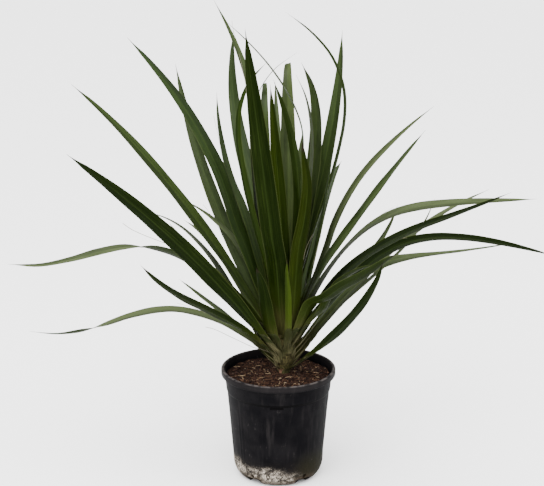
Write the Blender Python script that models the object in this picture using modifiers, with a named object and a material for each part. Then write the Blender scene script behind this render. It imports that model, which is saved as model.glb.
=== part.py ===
"""Dragon tree in a 17 cm nursery pot. Metres, +Z up, the pot's axis on Z and its feet on z = 0.

The camera side of the plant is -Y. Headings are degrees round Z: 0 is +X, 90 is +Y, away from the camera.
"""
import math
from typing import NamedTuple

import bmesh
import bpy
import numpy as np
from mathutils import noise, Vector

MM = 0.001

# Clearance between pieces that touch, and sideways between the facets of the soil and the pot
GAP = 0.3 * MM
SIDE_GAP = 1.2 * GAP

# Pot
POT_HEIGHT = 166 * MM
RIM_RADIUS = 85 * MM
RIM_BAND = 9.8 * MM
RIM_EDGE = 1.5 * MM
LIP = 5 * MM
LIP_EDGE = 1.2 * MM
WALL = 1.8 * MM
NECK_DROP = 18 * MM
LEDGE_DROP = 33 * MM
LEDGE_STEP = 1.0 * MM
BASE_RADIUS = 54.5 * MM
BODY_FOOT_RADIUS = 67.2 * MM
TAPER = 0.083
CORNER_HEIGHT = 24 * MM
CORNER_INSET = 2.5 * MM
CORNER_SWEEP = 80
FLOOR_HEIGHT = 9.5 * MM
FLOOR_THICK = 2 * MM
FOOT_RING = 5 * MM
FOOT_DRAFT = 1 * MM
FEET = 5
NOTCH_SIZE = (30 * MM, 22 * MM, 18.8 * MM)
NOTCH_ROUND = 4 * MM
DRAIN_RADIUS = 3.5 * MM
DRAIN_DEPTH = 30 * MM
DRAIN_OUT = 12 * MM
DRAIN_HEIGHT = 14 * MM
POT_SIDES = 64

# Soil
SOIL_TOP = 155 * MM
SOIL_DIP = 2 * MM
SOIL_FLARE = 1.1 * MM
SOIL_RELIEF = 1.6 * MM
SOIL_GRAIN = 70
SOIL_SKIN = 3 * MM
SOIL_EVEN_EDGE = 12 * MM
SOIL_RINGS = 6
SOIL_SIDES = 40

# Stem: the crown's core and the root stock below it, as radius and height in millimetres
STEM_PLACE = Vector((8 * MM, 6 * MM, 0))
STEM_PROFILE = (
    (0.0, 270), (3.0, 266), (6.0, 255), (9.5, 240), (13.0, 222), (16.0, 204), (17.0, 190), (15.0, 176),
    (11.0, 165), (8.5, 159), (8.0, 154), (8.5, 142), (7.0, 120), (4.0, 107), (0.0, 105),
)
STEM_SIDES = 28
LOWEST_ROOT = 162 * MM
HIGHEST_ROOT = 264 * MM
ROOT_PITCH = 4.2 * MM
ROOT_SPREAD = 70
LOWEST_RISE = 34
HIGHEST_RISE = 86
RISE_POWER = 0.75

# Leaves
LEAF_THICK = 0.9 * MM
ROOT_DEPTH = 3.5 * MM
ROOT_DEPTH_SHARE = 0.3
ROOT_WRAP = 1.3
ROOT_SHARE = 0.78
FULL_FROM = 0.22
TAPER_FROM = 0.4
TAPER_POWER = 2.3
TIP_SHARE = 0.05
ROLL_FROM = 0.06
ROLL_OVER = 0.35
LEAN_FROM = 180
CURVE_POINTS = 200
LEAF_SEGMENTS = 13
ROW_CROWDING = 1.35
FOLD = 0.12
ROOT_FOLD = 0.22
ROOT_FOLD_OVER = 0.08
PARTING_ROUNDS = 80
PARTING_SMOOTHING = 3
PARTING_REACH = 9 * MM
ROOT_REACH = 1.2 * MM
LEAF_CLEARANCE = 1.7 * MM
EDGE_CLEARANCE = 1.0 * MM
FREE_SHARE = 0.2
SOCKET_ROWS = 12
ACROSS = np.array([-1, -0.5, 0, 0.5, 1])


class Leaf(NamedTuple):
    """How one leaf grows: angles in degrees, lengths in millimetres, reach and heading from the stem."""
    leaving: float          # heading at the root
    heading: float          # heading of the tip
    reach: float            # level distance from the stem to the tip
    height: float           # height of the tip
    slope: float            # slope at the tip
    width: float
    roll: float = 0         # turn about the midrib, right edge down
    twist: float = 0        # further turn, past the point twist_from
    start: float = 0.40     # how long the leaf keeps its first direction
    finish: float = 0.35    # how long it keeps its last one
    pointing: float = None  # heading in which the tip points, if not away from the stem
    twist_from: float = 0.35
    twist_over: float = 0.5
    lower: float = 0        # how far down the order of roots it is moved, in degrees of lean


LEAVES = (
    Leaf(-34, -47, 194, 376, 86, 18, -35, 0, 0.15, 0.26, lower=11),
    Leaf(186, 182, 374, 224, 13, 20, -12, 45, 0.68, 0.38, 182, 0.68, 0.12, -28),
    Leaf(95, 95, 262, 250, -12, 22),
    Leaf(-50, -48, 225, 388, 40, 20, -30, 0, 0.46, 0.35, lower=-10),
    Leaf(212, 215, 240, 363, 50, 20, 35, 0, 0.42, 0.37, lower=1),
    Leaf(40, 40, 290, 330, 5, 22),
    Leaf(-8, -8, 392, 350, -14, 22, -50, 0, 0.50, 0.60, lower=-23),
    Leaf(150, 150, 185, 272, 28, 14),
    Leaf(180, 179, 405, 321, 10, 22, 40, -60, 0.78, 0.33, 178, 0.50, 0.15, -29),
    Leaf(18, 5, 342, 347, 9, 18, 25, -35, 0.62, 0.62, 5, 0.50, 0.20, -20),
    Leaf(125, 125, 280, 330, 5, 13),
    Leaf(-78, -84, 48, 352, 80, 10, lower=30),
    Leaf(14, 8, 378, 408, 1, 24, -10, 24, 0.58, 0.50, 8, 0.35, 0.30, -28),
    Leaf(156, 160, 251, 383, -4, 18, 0, 20, 0.40, 0.42, lower=3),
    Leaf(70, 70, 280, 420, 12, 23),
    Leaf(-18, -18, 325, 455, 28, 22, -40, 0, 0.50, 0.36, lower=-14),
    Leaf(225, 225, 383, 545, 37, 27, 45, 0, 0.30, 0.38, lower=6),
    Leaf(-25, -25, 152, 342, 10, 20, -20),
    Leaf(-120, -114, 98, 345, 50, 20, 10, lower=21),
    Leaf(105, 105, 270, 470, 22, 23),
    Leaf(22, 20, 333, 408, 18, 21, 0, 0, 0.42, 0.40, lower=-6),
    Leaf(45, 30, 200, 388, 72, 12, 0, 30),
    Leaf(215, 215, 193, 415, 55, 20, 30),
    Leaf(40, 25, 254, 396, 76, 8, 0, 0, 0.40, 0.25),
    Leaf(122, 118, 240, 450, 22, 22),
    Leaf(-5, -3, 200, 524, 52, 23, 22, 0, 0.33, 0.36, lower=-12),
    Leaf(168, 168, 317, 577, 37, 24, -22, 0, 0.16, 0.35, lower=0.5),
    Leaf(150, 150, 171, 398, 20, 16, 0, 0, 0.40, 0.50),
    Leaf(14, 12, 222, 548, 36, 20, 8, 0, 0.44, 0.50, lower=-6),
    Leaf(76, 80, 180, 476, 36, 22),
    Leaf(156, 156, 252, 640, 41, 27, -18, 0, 0.33, 0.46),
    Leaf(-88, -115, 47, 595, 80, 20, lower=5),
    Leaf(142, 140, 212, 596, 76, 22, -20, 0, 0.28, 0.45, lower=14),
    Leaf(45, 40, 110, 655, 88, 22, 20, 0, 0.30, 0.40),
    Leaf(140, 140, 129, 563, 90, 16),
    Leaf(-66, -62, 50, 520, 78, 22, lower=12),
    Leaf(-22, -19, 72, 490, 82, 20, 30, lower=2),
    Leaf(95, 95, 150, 570, 55, 15),
    Leaf(-100, -108, 168, 685, 72, 30, 0, 0, 0.42, 0.35),
    Leaf(145, 138, 139, 698, 50, 22, 0, 0, 0.40, 0.45),
    Leaf(12, 20, 1, 689, 33, 9, -50, 0, 0.55, 0.45, 200),
    Leaf(110, 112, 204, 640, 105, 26, 5, 0, 0.45, 0.39),
    Leaf(42, 50, 38, 614, 50, 27, 10, 0, 0.46, 0.30, 225),
    Leaf(-125, -130, 45, 460, 78, 22),
    Leaf(-45, 155, 95, 674, 36, 16, 50, 0, 0.60, 0.40, 155),
    Leaf(150, 70, 52, 625, 25, 14, 30, 0, 0.50, 0.33, 20),
    Leaf(22, 56, 30, 597, 55, 16, 0, 0, 0.46, 0.30, 215),
    Leaf(205, -122, 43, 626, 40, 12, 30, 0, 0.58, 0.28, -15),
    Leaf(68, 84, 82, 602, -30, 26, 0, 0, 0.60, 0.30),
    Leaf(74, 74, 104, 503, 72, 20),
    Leaf(140, 108, 88, 576, -20, 18, -50, 0, 0.60, 0.30, 90),
    Leaf(-60, -148, 19, 597, 68, 18, 0, 0, 0.50, 0.35, -170),
)


def clear_scene():
    """Remove every object that the file opened with."""
    for thing in list(bpy.data.objects):
        bpy.data.objects.remove(thing, do_unlink=True)


def collection(name):
    """A new collection in the scene."""
    group = bpy.data.collections.new(name)
    bpy.context.scene.collection.children.link(group)
    return group


def material(name, colour, roughness):
    """A plain Principled material."""
    finish = bpy.data.materials.new(name)
    finish.use_nodes = True
    shader = finish.node_tree.nodes["Principled BSDF"]
    shader.inputs["Base Color"].default_value = (*colour, 1)
    shader.inputs["Roughness"].default_value = roughness
    shader.inputs["Metallic"].default_value = 0
    return finish


def part(name, mesh, colour, roughness):
    """A named sub-part in the object's collection, with its own material."""
    thing = bpy.data.objects.new(name, mesh)
    mesh.materials.append(material(name, colour, roughness))
    PARTS.objects.link(thing)
    return thing


def cutter(thing, group=None):
    """Keep a piece only as a cutter."""
    for owner in list(thing.users_collection):
        owner.objects.unlink(thing)
    (group or CUTTERS).objects.link(thing)
    thing.hide_render = True
    thing.display_type = "WIRE"
    return thing


def cut(target, tool):
    """Cut one piece with another object."""
    boolean = target.modifiers.new("cut by " + tool.name, "BOOLEAN")
    boolean.operation = "DIFFERENCE"
    boolean.solver = "EXACT"
    boolean.object = tool


def cut_by_all(target, group):
    """Cut one piece with every object of a collection."""
    boolean = target.modifiers.new("cut by " + group.name, "BOOLEAN")
    boolean.operation = "DIFFERENCE"
    boolean.solver = "EXACT"
    boolean.operand_type = "COLLECTION"
    boolean.collection = group


def profile_mesh(name, points):
    """An open line of radius and height points in the XZ plane."""
    mesh = bpy.data.meshes.new(name)
    edges = [(k, k + 1) for k in range(len(points) - 1)]
    mesh.from_pydata([(r, 0, z) for r, z in points], edges, [])
    return mesh


def turn(thing, sides):
    """Turn a profile round Z."""
    screw = thing.modifiers.new("turned", "SCREW")
    screw.steps = sides
    screw.render_steps = sides
    screw.use_merge_vertices = True
    screw.merge_threshold = 0.00001
    screw.use_smooth_shade = True


def settled_mesh(thing):
    """The piece's mesh with its modifiers applied."""
    depsgraph = bpy.context.evaluated_depsgraph_get()
    return bpy.data.meshes.new_from_object(thing.evaluated_get(depsgraph))


def body_radius(height):
    """Outer radius of the pot's wall between the corner and the rim, with the ledge's step."""
    upper = height > POT_HEIGHT - LEDGE_DROP
    return BODY_FOOT_RADIUS + (height - CORNER_HEIGHT) * TAPER + (LEDGE_STEP if upper else 0)


def corner(radius, foot_radius, bottom, top, count):
    """The rounded lower corner, from the wall down to the base."""
    centre = foot_radius - CORNER_INSET
    points = []
    for k in range(count + 1):
        a = math.radians(CORNER_SWEEP) * k / count
        points.append((centre + (radius - centre) * math.cos(a), top - (top - bottom) * math.sin(a)))
    return points


def pot_profile():
    """The pot's section: inside from the floor up, over the rim, down the outside and under the base."""
    top = POT_HEIGHT
    lip_inside = RIM_RADIUS - LIP
    floor = FLOOR_HEIGHT + FLOOR_THICK
    ledge = top - LEDGE_DROP
    band = top - RIM_BAND
    inside = corner(body_radius(CORNER_HEIGHT) - WALL, BASE_RADIUS - WALL, floor, CORNER_HEIGHT + WALL, 4)
    points = [(0, floor)] + inside[::-1]
    points += [
        (body_radius(top - NECK_DROP) - WALL, top - NECK_DROP),
        (lip_inside - LIP_EDGE, band),
        (lip_inside, top - RIM_EDGE),
        (lip_inside + LIP_EDGE, top),
        (RIM_RADIUS - RIM_EDGE, top),
        (RIM_RADIUS, top - RIM_EDGE),
        (RIM_RADIUS, band + LEDGE_STEP),
        (RIM_RADIUS - LEDGE_STEP, band),
        (body_radius(band) + 0.4 * LEDGE_STEP, band - 0.6 * LEDGE_STEP),
        (body_radius(ledge + LEDGE_STEP), ledge + LEDGE_STEP),
        (body_radius(ledge - LEDGE_STEP), ledge - LEDGE_STEP),
    ]
    points += corner(body_radius(CORNER_HEIGHT), BASE_RADIUS, 0, CORNER_HEIGHT, 6)[:-1]
    points += [
        (BASE_RADIUS, 0),
        (BASE_RADIUS - FOOT_RING, 0),
        (BASE_RADIUS - FOOT_RING - FOOT_DRAFT, FLOOR_HEIGHT),
        (0, FLOOR_HEIGHT),
    ]
    return points


def build_pot():
    """The moulded pot, notched into feet with one at the front, and a drain hole over each notch."""
    pot = part("pot", profile_mesh("pot", pot_profile()), (0.022, 0.023, 0.026), 0.5)
    turn(pot, POT_SIDES)
    for k in range(FEET):
        heading = math.radians(-90 + 360 * (k + 0.5) / FEET)
        out = Vector((math.cos(heading), math.sin(heading), 0))
        bpy.ops.mesh.primitive_cube_add(size=1, location=out * BASE_RADIUS, rotation=(0, 0, heading))
        notch = cutter(bpy.context.object)
        notch.name = f"notch_{k}"
        notch.scale = NOTCH_SIZE
        bpy.ops.object.transform_apply(location=False, rotation=False, scale=True)
        bevel = notch.modifiers.new("round shoulders", "BEVEL")
        bevel.width = NOTCH_ROUND
        bevel.segments = 3
        bevel.limit_method = "ANGLE"
        cut(pot, notch)
        bpy.ops.mesh.primitive_cylinder_add(
            vertices=16, radius=DRAIN_RADIUS, depth=DRAIN_DEPTH,
            location=out * (BASE_RADIUS + DRAIN_OUT) + Vector((0, 0, DRAIN_HEIGHT)),
            rotation=(0, math.pi / 2, heading))
        drain = cutter(bpy.context.object)
        drain.name = f"drain_{k}"
        cut(pot, drain)
    return pot


def soil_profile():
    """The soil's section, a clearance inside the pot, with rings across its top for the relief."""
    floor = FLOOR_HEIGHT + FLOOR_THICK
    inside = corner(body_radius(CORNER_HEIGHT) - WALL, BASE_RADIUS - WALL, floor, CORNER_HEIGHT + WALL, 4)
    neck = POT_HEIGHT - NECK_DROP
    wall = [(r - SIDE_GAP, z + GAP) for r, z in inside]
    neck_side = body_radius(neck) - WALL - SIDE_GAP
    shares = [k / SOIL_RINGS for k in range(SOIL_RINGS)]
    rings = [(neck_side * share, SOIL_TOP - SOIL_DIP * share ** 2) for share in shares]
    edge = (neck_side + SOIL_FLARE, SOIL_TOP - SOIL_DIP)
    return rings + [edge, (neck_side, neck)] + wall + [(0, floor + GAP)]


def build_soil(stock):
    """The soil: filled to just under the rim, rough on top, with a plain hole for the root stock."""
    turned = part("soil", profile_mesh("soil", soil_profile()), (0.055, 0.030, 0.020), 0.95)
    turn(turned, SOIL_SIDES)
    turned.data = settled_mesh(turned)
    turned.modifiers.clear()
    for vertex in turned.data.vertices:
        level = math.hypot(vertex.co.x, vertex.co.y)
        if vertex.co.z > SOIL_TOP - SOIL_SKIN and level < RIM_RADIUS - SOIL_EVEN_EDGE:
            vertex.co.z += SOIL_RELIEF * noise.noise(vertex.co * SOIL_GRAIN)
    cut(turned, stock)
    return turned


def stem_points(grow):
    """The stem's profile from the top down, grown all round by a clearance."""
    last = len(STEM_PROFILE) - 1
    points = []
    for k, (radius, height) in enumerate(STEM_PROFILE):
        lift = grow if k == 0 else -grow if k == last else 0
        points.append((radius * MM + (grow if radius else 0), height * MM + lift))
    return points


def turned_stem(name, grow):
    """The stem as turned, before its sockets are cut."""
    stem = part(name, profile_mesh(name, stem_points(grow)), (0.30, 0.29, 0.17), 0.8)
    stem.location = STEM_PLACE
    turn(stem, STEM_SIDES)
    return stem


def core_radius(height):
    """The stem's radius at a height."""
    heights = [z * MM for _, z in reversed(STEM_PROFILE)]
    radii = [r * MM for r, _ in reversed(STEM_PROFILE)]
    return float(np.interp(height, heights, radii))


def heading_vector(degrees):
    """The level direction of a heading."""
    a = math.radians(degrees)
    return np.array([math.cos(a), math.sin(a), 0.0])


def sloped(heading, slope):
    """The direction that climbs at a slope along a heading."""
    a = math.radians(slope)
    return heading_vector(heading) * math.cos(a) + np.array([0, 0, math.sin(a)])


def smooth(x):
    """0 to 1 with level ends."""
    x = np.clip(x, 0.0, 1.0)
    return x * x * (3 - 2 * x)


def lean(leaf):
    """How upright a leaf grows, by its tip, or 90 where it arches back over the crown."""
    arching = leaf.pointing is not None and abs(leaf.pointing - leaf.heading) > 90
    if arching or leaf.slope <= -20:
        return 90
    return math.degrees(math.atan2(leaf.height - LEAN_FROM, abs(leaf.reach))) - leaf.lower


def root_heights(leaves):
    """Heights of the roots on the core: each one a pitch above those that it overlaps."""
    heights = []
    for leaf in leaves:
        height = LOWEST_ROOT
        for other, below in zip(leaves, heights):
            apart = abs((leaf.leaving - other.leaving + 180) % 360 - 180)
            if apart < ROOT_SPREAD:
                height = max(height, below + ROOT_PITCH)
        heights.append(min(height, HIGHEST_ROOT))
    return heights


def rise(height):
    """The slope at which a leaf leaves the core, from the height of its root."""
    share = (height - LOWEST_ROOT) / (HIGHEST_ROOT - LOWEST_ROOT)
    return LOWEST_RISE + (HIGHEST_RISE - LOWEST_RISE) * share ** RISE_POWER


def root_point(leaf, height):
    """Where a leaf starts, sunk a little into the core."""
    radius = core_radius(height)
    point = np.array(STEM_PLACE) + heading_vector(leaf.leaving) * radius
    point[2] = height
    return point - sloped(leaf.leaving, rise(height)) * min(ROOT_DEPTH, ROOT_DEPTH_SHARE * radius)


def leaf_path(leaf, height):
    """Points at even steps along a leaf's midrib: a curve from its root to its tip."""
    root = root_point(leaf, height)
    tip = np.array(STEM_PLACE) + heading_vector(leaf.heading) * leaf.reach * MM
    tip[2] = leaf.height * MM
    span = np.linalg.norm(tip - root)
    pointing = leaf.heading if leaf.pointing is None else leaf.pointing
    rising = root + sloped(leaf.leaving, rise(height)) * span * leaf.start
    ending = tip - sloped(pointing, leaf.slope) * span * leaf.finish
    t = np.linspace(0, 1, CURVE_POINTS)[:, None]
    curve = (1 - t) ** 3 * root + t ** 3 * tip
    curve += 3 * (1 - t) * t * ((1 - t) * rising + t * ending)
    return resampled(curve, row_shares())


def row_shares():
    """Shares of a leaf's length at which its rows lie, closer together near the root."""
    return np.linspace(0, 1, 2 * LEAF_SEGMENTS + 1) ** ROW_CROWDING


def resampled(curve, shares):
    """Points at shares of the length of a line of points."""
    steps = np.linalg.norm(np.diff(curve, axis=0), axis=1)
    run = np.concatenate([[0], np.cumsum(steps)])
    return np.stack([np.interp(shares * run[-1], run, curve[:, axis]) for axis in range(3)], axis=1)


def turning(leaf, along):
    """The blade's turn about its midrib at shares of its length, in radians."""
    roll = leaf.roll * smooth((along - ROLL_FROM) / ROLL_OVER)
    twist = leaf.twist * smooth((along - leaf.twist_from) / leaf.twist_over)
    return np.radians(roll + twist)


def half_widths(leaf, height, along):
    """Half the blade's width: narrow at the root, widest past the middle, then a long taper."""
    full = leaf.width * MM
    root = min(ROOT_WRAP * core_radius(height), ROOT_SHARE * full)
    body = root + (full - root) * smooth(along / FULL_FROM)
    taper = 1 - np.clip((along - TAPER_FROM) / (1 - TAPER_FROM), 0, 1) ** TAPER_POWER
    return 0.5 * (body * taper + TIP_SHARE * full * (1 - taper))


def frames(paths, leaving, turns):
    """The blades' side and upward directions at every row of their paths, carried along from the root."""
    ahead = np.gradient(paths, axis=1)
    ahead /= np.linalg.norm(ahead, axis=2, keepdims=True)
    side = np.stack([-np.sin(leaving), np.cos(leaving), np.zeros(len(leaving))], axis=1)
    sides = np.zeros_like(paths)
    for row in range(paths.shape[1]):
        side = side - ahead[:, row] * np.sum(side * ahead[:, row], axis=1, keepdims=True)
        side /= np.linalg.norm(side, axis=1, keepdims=True)
        sides[:, row] = side
    ups = np.cross(ahead, sides)
    c, s = np.cos(turns)[..., None], np.sin(turns)[..., None]
    return ahead, sides * c + ups * s, ups * c - sides * s


def folds(along):
    """How steeply the blade's halves rise from the midrib."""
    return FOLD + ROOT_FOLD * np.exp(-along / ROOT_FOLD_OVER)


class Crown(NamedTuple):
    """All blades at once, as arrays by leaf and row."""
    paths: np.ndarray
    ahead: np.ndarray
    sides: np.ndarray
    ups: np.ndarray
    halves: np.ndarray
    fold: np.ndarray


def surface_points(crown):
    """Points across every row of every blade."""
    lift = (crown.halves * crown.fold)[..., None, None] * np.abs(ACROSS)[:, None] * crown.ups[:, :, None]
    out = crown.halves[..., None, None] * ACROSS[:, None] * crown.sides[:, :, None]
    return crown.paths[:, :, None] + out + lift


def touches(crown, k, points, owner, row_of):
    """Points of other leaves too close to leaf k: which, the row of k beside each, and the push they need."""
    near = np.argmin(np.sum((points[:, None] - crown.paths[k]) ** 2, axis=2), axis=1)
    away = points - crown.paths[k][near]
    up = crown.ups[k][near]
    along = np.abs(np.sum(away * crown.ahead[k][near], axis=1))
    beside = np.abs(np.sum(away * crown.sides[k][near], axis=1))
    above = np.sum(away * up, axis=1) - crown.fold[k][near] * beside
    facing = np.sum(up * crown.ups[owner, row_of], axis=1) < 0
    sign = np.where(facing | (owner > k), 1.0, -1.0)
    short = LEAF_CLEARANCE - above * sign
    reach = ROOT_REACH + (PARTING_REACH - ROOT_REACH) * smooth(row_shares()[near] / FREE_SHARE)
    step = np.linalg.norm(np.gradient(crown.paths[k], axis=0), axis=1)
    touch = (owner != k) & (beside < crown.halves[k][near] + EDGE_CLEARANCE) & (along < step[near])
    touch &= (short > 0) & (short < LEAF_CLEARANCE + reach)
    return touch, near[touch], (0.5 * sign * short)[touch, None] * up[touch]


def parting(crown):
    """How far each row moves in one round, with both leaves of a pair giving way alike."""
    count, rows = crown.halves.shape
    points = surface_points(crown).reshape(-1, 3)
    owner = np.repeat(np.arange(count), rows * len(ACROSS))
    row_of = np.tile(np.repeat(np.arange(rows), len(ACROSS)), count)
    moves = np.zeros_like(crown.paths)
    hits = np.zeros((count, rows))
    for k in range(count):
        touch, near, push = touches(crown, k, points, owner, row_of)
        theirs = (owner[touch], row_of[touch])
        own = (np.full(len(near), k), near)
        for place, move in ((theirs, push), (own, -push)):
            np.add.at(moves, place, move)
            np.add.at(hits, place, 1)
    moves /= np.maximum(hits, 1)[..., None]
    for _ in range(PARTING_SMOOTHING):
        moves[:, 1:-1] = 0.25 * moves[:, :-2] + 0.5 * moves[:, 1:-1] + 0.25 * moves[:, 2:]
    return moves


def grown_leaves():
    """Every leaf as a blade, bent clear of its neighbours: the leaf with the higher root lies above."""
    along = row_shares()
    leaves = sorted(LEAVES, key=lean)
    heights = root_heights(leaves)
    paths = np.array([leaf_path(leaf, height) for leaf, height in zip(leaves, heights)])
    turns = np.array([turning(leaf, along) for leaf in leaves])
    halves = np.array([half_widths(leaf, height, along) for leaf, height in zip(leaves, heights)])
    fold = np.tile(folds(along), (len(leaves), 1))
    leaving = np.radians([leaf.leaving for leaf in leaves])
    for _ in range(PARTING_ROUNDS):
        paths = paths + parting(Crown(paths, *frames(paths, leaving, turns), halves, fold))
    _, sides, ups = frames(paths, leaving, turns)
    return [Blade(*rows) for rows in zip(paths, sides, ups, halves, fold)]


class Blade(NamedTuple):
    """One leaf's rows from root to tip."""
    path: np.ndarray
    side: np.ndarray
    up: np.ndarray
    half: np.ndarray
    fold: np.ndarray

    def point(self, row, across, widen=0.0):
        """The point of a row at a share of its half width, the blade widened and lengthened at its root."""
        out = (self.half[row] + widen) * across
        middle = self.path[row]
        if row == 0:
            ahead = self.path[1] - self.path[0]
            middle = middle - ahead / np.linalg.norm(ahead) * widen
        return Vector(middle + self.side[row] * out + self.up[row] * abs(out) * self.fold[row])


def blade_sheet(name, blade, rows, widen=0.0):
    """A sheet two faces wide over some of a leaf's rows, split into triangles."""
    sheet = bmesh.new()
    bmesh.ops.create_grid(sheet, x_segments=2, y_segments=len(rows) - 1, size=1)
    for vertex in sheet.verts:
        row = rows[round((vertex.co.y + 1) / 2 * (len(rows) - 1))]
        vertex.co = blade.point(row, vertex.co.x, widen)
    bmesh.ops.triangulate(sheet, faces=sheet.faces)
    mesh = bpy.data.meshes.new(name)
    sheet.to_mesh(mesh)
    sheet.free()
    return mesh


def thicken(thing, thickness):
    """Give a sheet its thickness, half to each side."""
    solid = thing.modifiers.new("thickness", "SOLIDIFY")
    solid.thickness = thickness
    solid.offset = 0


def leaf_colour(rank):
    """Dark olive green outside, paler toward the heart of the crown."""
    young = rank / (len(LEAVES) - 1)
    return (0.050 + 0.030 * young, 0.085 + 0.045 * young, 0.022 + 0.022 * young)


def build_leaf(rank, blade):
    """One leaf."""
    name = f"leaf_{rank + 1:02d}"
    mesh = blade_sheet(name, blade, range(0, 2 * LEAF_SEGMENTS + 1, 2))
    leaf = part(name, mesh, leaf_colour(rank), 0.45)
    thicken(leaf, LEAF_THICK)
    return leaf


def add_socket(rank, blade):
    """The space that a leaf's root takes in the stem, a clearance wider all round."""
    mesh = blade_sheet(f"socket_{rank + 1:02d}", blade, range(0, SOCKET_ROWS + 1, 2), GAP)
    socket = bpy.data.objects.new(mesh.name, mesh)
    bpy.context.scene.collection.objects.link(socket)
    thicken(cutter(socket, SOCKETS), LEAF_THICK + 2 * GAP)


clear_scene()
PARTS = collection("potted_dragon_tree")
CUTTERS = collection("cutters")
SOCKETS = collection("sockets")
build_pot()
build_soil(cutter(turned_stem("stock_hole", GAP)))
stem = turned_stem("stem", 0)
for rank, blade in enumerate(grown_leaves()):
    build_leaf(rank, blade)
    add_socket(rank, blade)
cut_by_all(stem, SOCKETS)
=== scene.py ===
"""Looks of the potted dragon tree, made from the pot up: pot, soil, stem, leaves, sheaths and threads."""
import math
import random

import bmesh
import bpy
import numpy as np
from mathutils import Matrix, Vector, noise


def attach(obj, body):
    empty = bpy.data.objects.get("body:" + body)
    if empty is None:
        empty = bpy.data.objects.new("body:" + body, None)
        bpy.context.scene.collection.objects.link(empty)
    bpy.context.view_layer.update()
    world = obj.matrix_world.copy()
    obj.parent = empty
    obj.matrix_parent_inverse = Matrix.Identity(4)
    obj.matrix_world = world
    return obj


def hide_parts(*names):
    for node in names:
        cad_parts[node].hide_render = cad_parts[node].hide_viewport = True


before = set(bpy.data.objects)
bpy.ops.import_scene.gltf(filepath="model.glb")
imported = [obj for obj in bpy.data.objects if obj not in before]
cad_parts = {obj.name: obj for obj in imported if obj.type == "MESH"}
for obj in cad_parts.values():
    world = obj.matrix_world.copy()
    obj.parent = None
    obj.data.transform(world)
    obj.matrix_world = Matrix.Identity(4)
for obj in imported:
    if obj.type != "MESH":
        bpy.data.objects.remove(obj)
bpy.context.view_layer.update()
MM = 0.001


# Pot
# A 17 cm nursery pot, thin charcoal plastic, moulded in one piece with shallow flutes, a stacking ledge
# and feet. Hard water has left a white crust on one side of its foot, and algae a green tint on the other.
# Headings and widths round the pot are in degrees.
POT_HEIGHT = 166 * MM
POT_SIDES = 288
WALL = 1.8 * MM
WALL_SLOPE = 0.083
RIM_RADIUS = 85 * MM
RIM_BAND = 9.8 * MM
MOUTH_HEIGHT = 148 * MM
LEDGE_HEIGHT = 133 * MM
LEDGE_STEP = 1 * MM
FOOT_TOP = 24 * MM
FOOT_TOP_RADIUS = 67.2 * MM
FOOT_RADIUS = 54.5 * MM
FOOT_TURN = 80
FLOOR_TOP = 11.5 * MM
FLOOR_UNDER = 9.5 * MM
FEET = 5
FIRST_NOTCH = -90 + 180 / FEET
NOTCH_SIZE = (30 * MM, 22 * MM, 18.8 * MM)
DRAIN_RADIUS = 3.5 * MM
FLUTES = 12
FLUTE_START = -80.5
FLUTE_WIDTH = 1.1
FLUTE_DEPTH = 0.45 * MM
PANEL_HALF_WIDTH = 12.5
PANEL_DEPTH = 0.4 * MM
TAB_HEADING = -92
TAB_HALF_WIDTH = 7
TAB_DEPTH = 1.3 * MM


class Signal:
    """A shader socket that adds Math nodes where it meets + - *."""

    def __init__(self, finish, socket):
        self.finish = finish
        self.socket = socket

    def math(self, operation, *others):
        return self.finish.add("ShaderNodeMath", {"operation": operation}, [self, *others])

    def __add__(self, other):
        return self.math("ADD", other)

    def __sub__(self, other):
        return self.math("SUBTRACT", other)

    def __rsub__(self, other):
        return self.finish.add("ShaderNodeMath", {"operation": "SUBTRACT"}, [other, self])

    def __mul__(self, other):
        return self.math("MULTIPLY", other)

    __radd__ = __add__
    __rmul__ = __mul__


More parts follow.
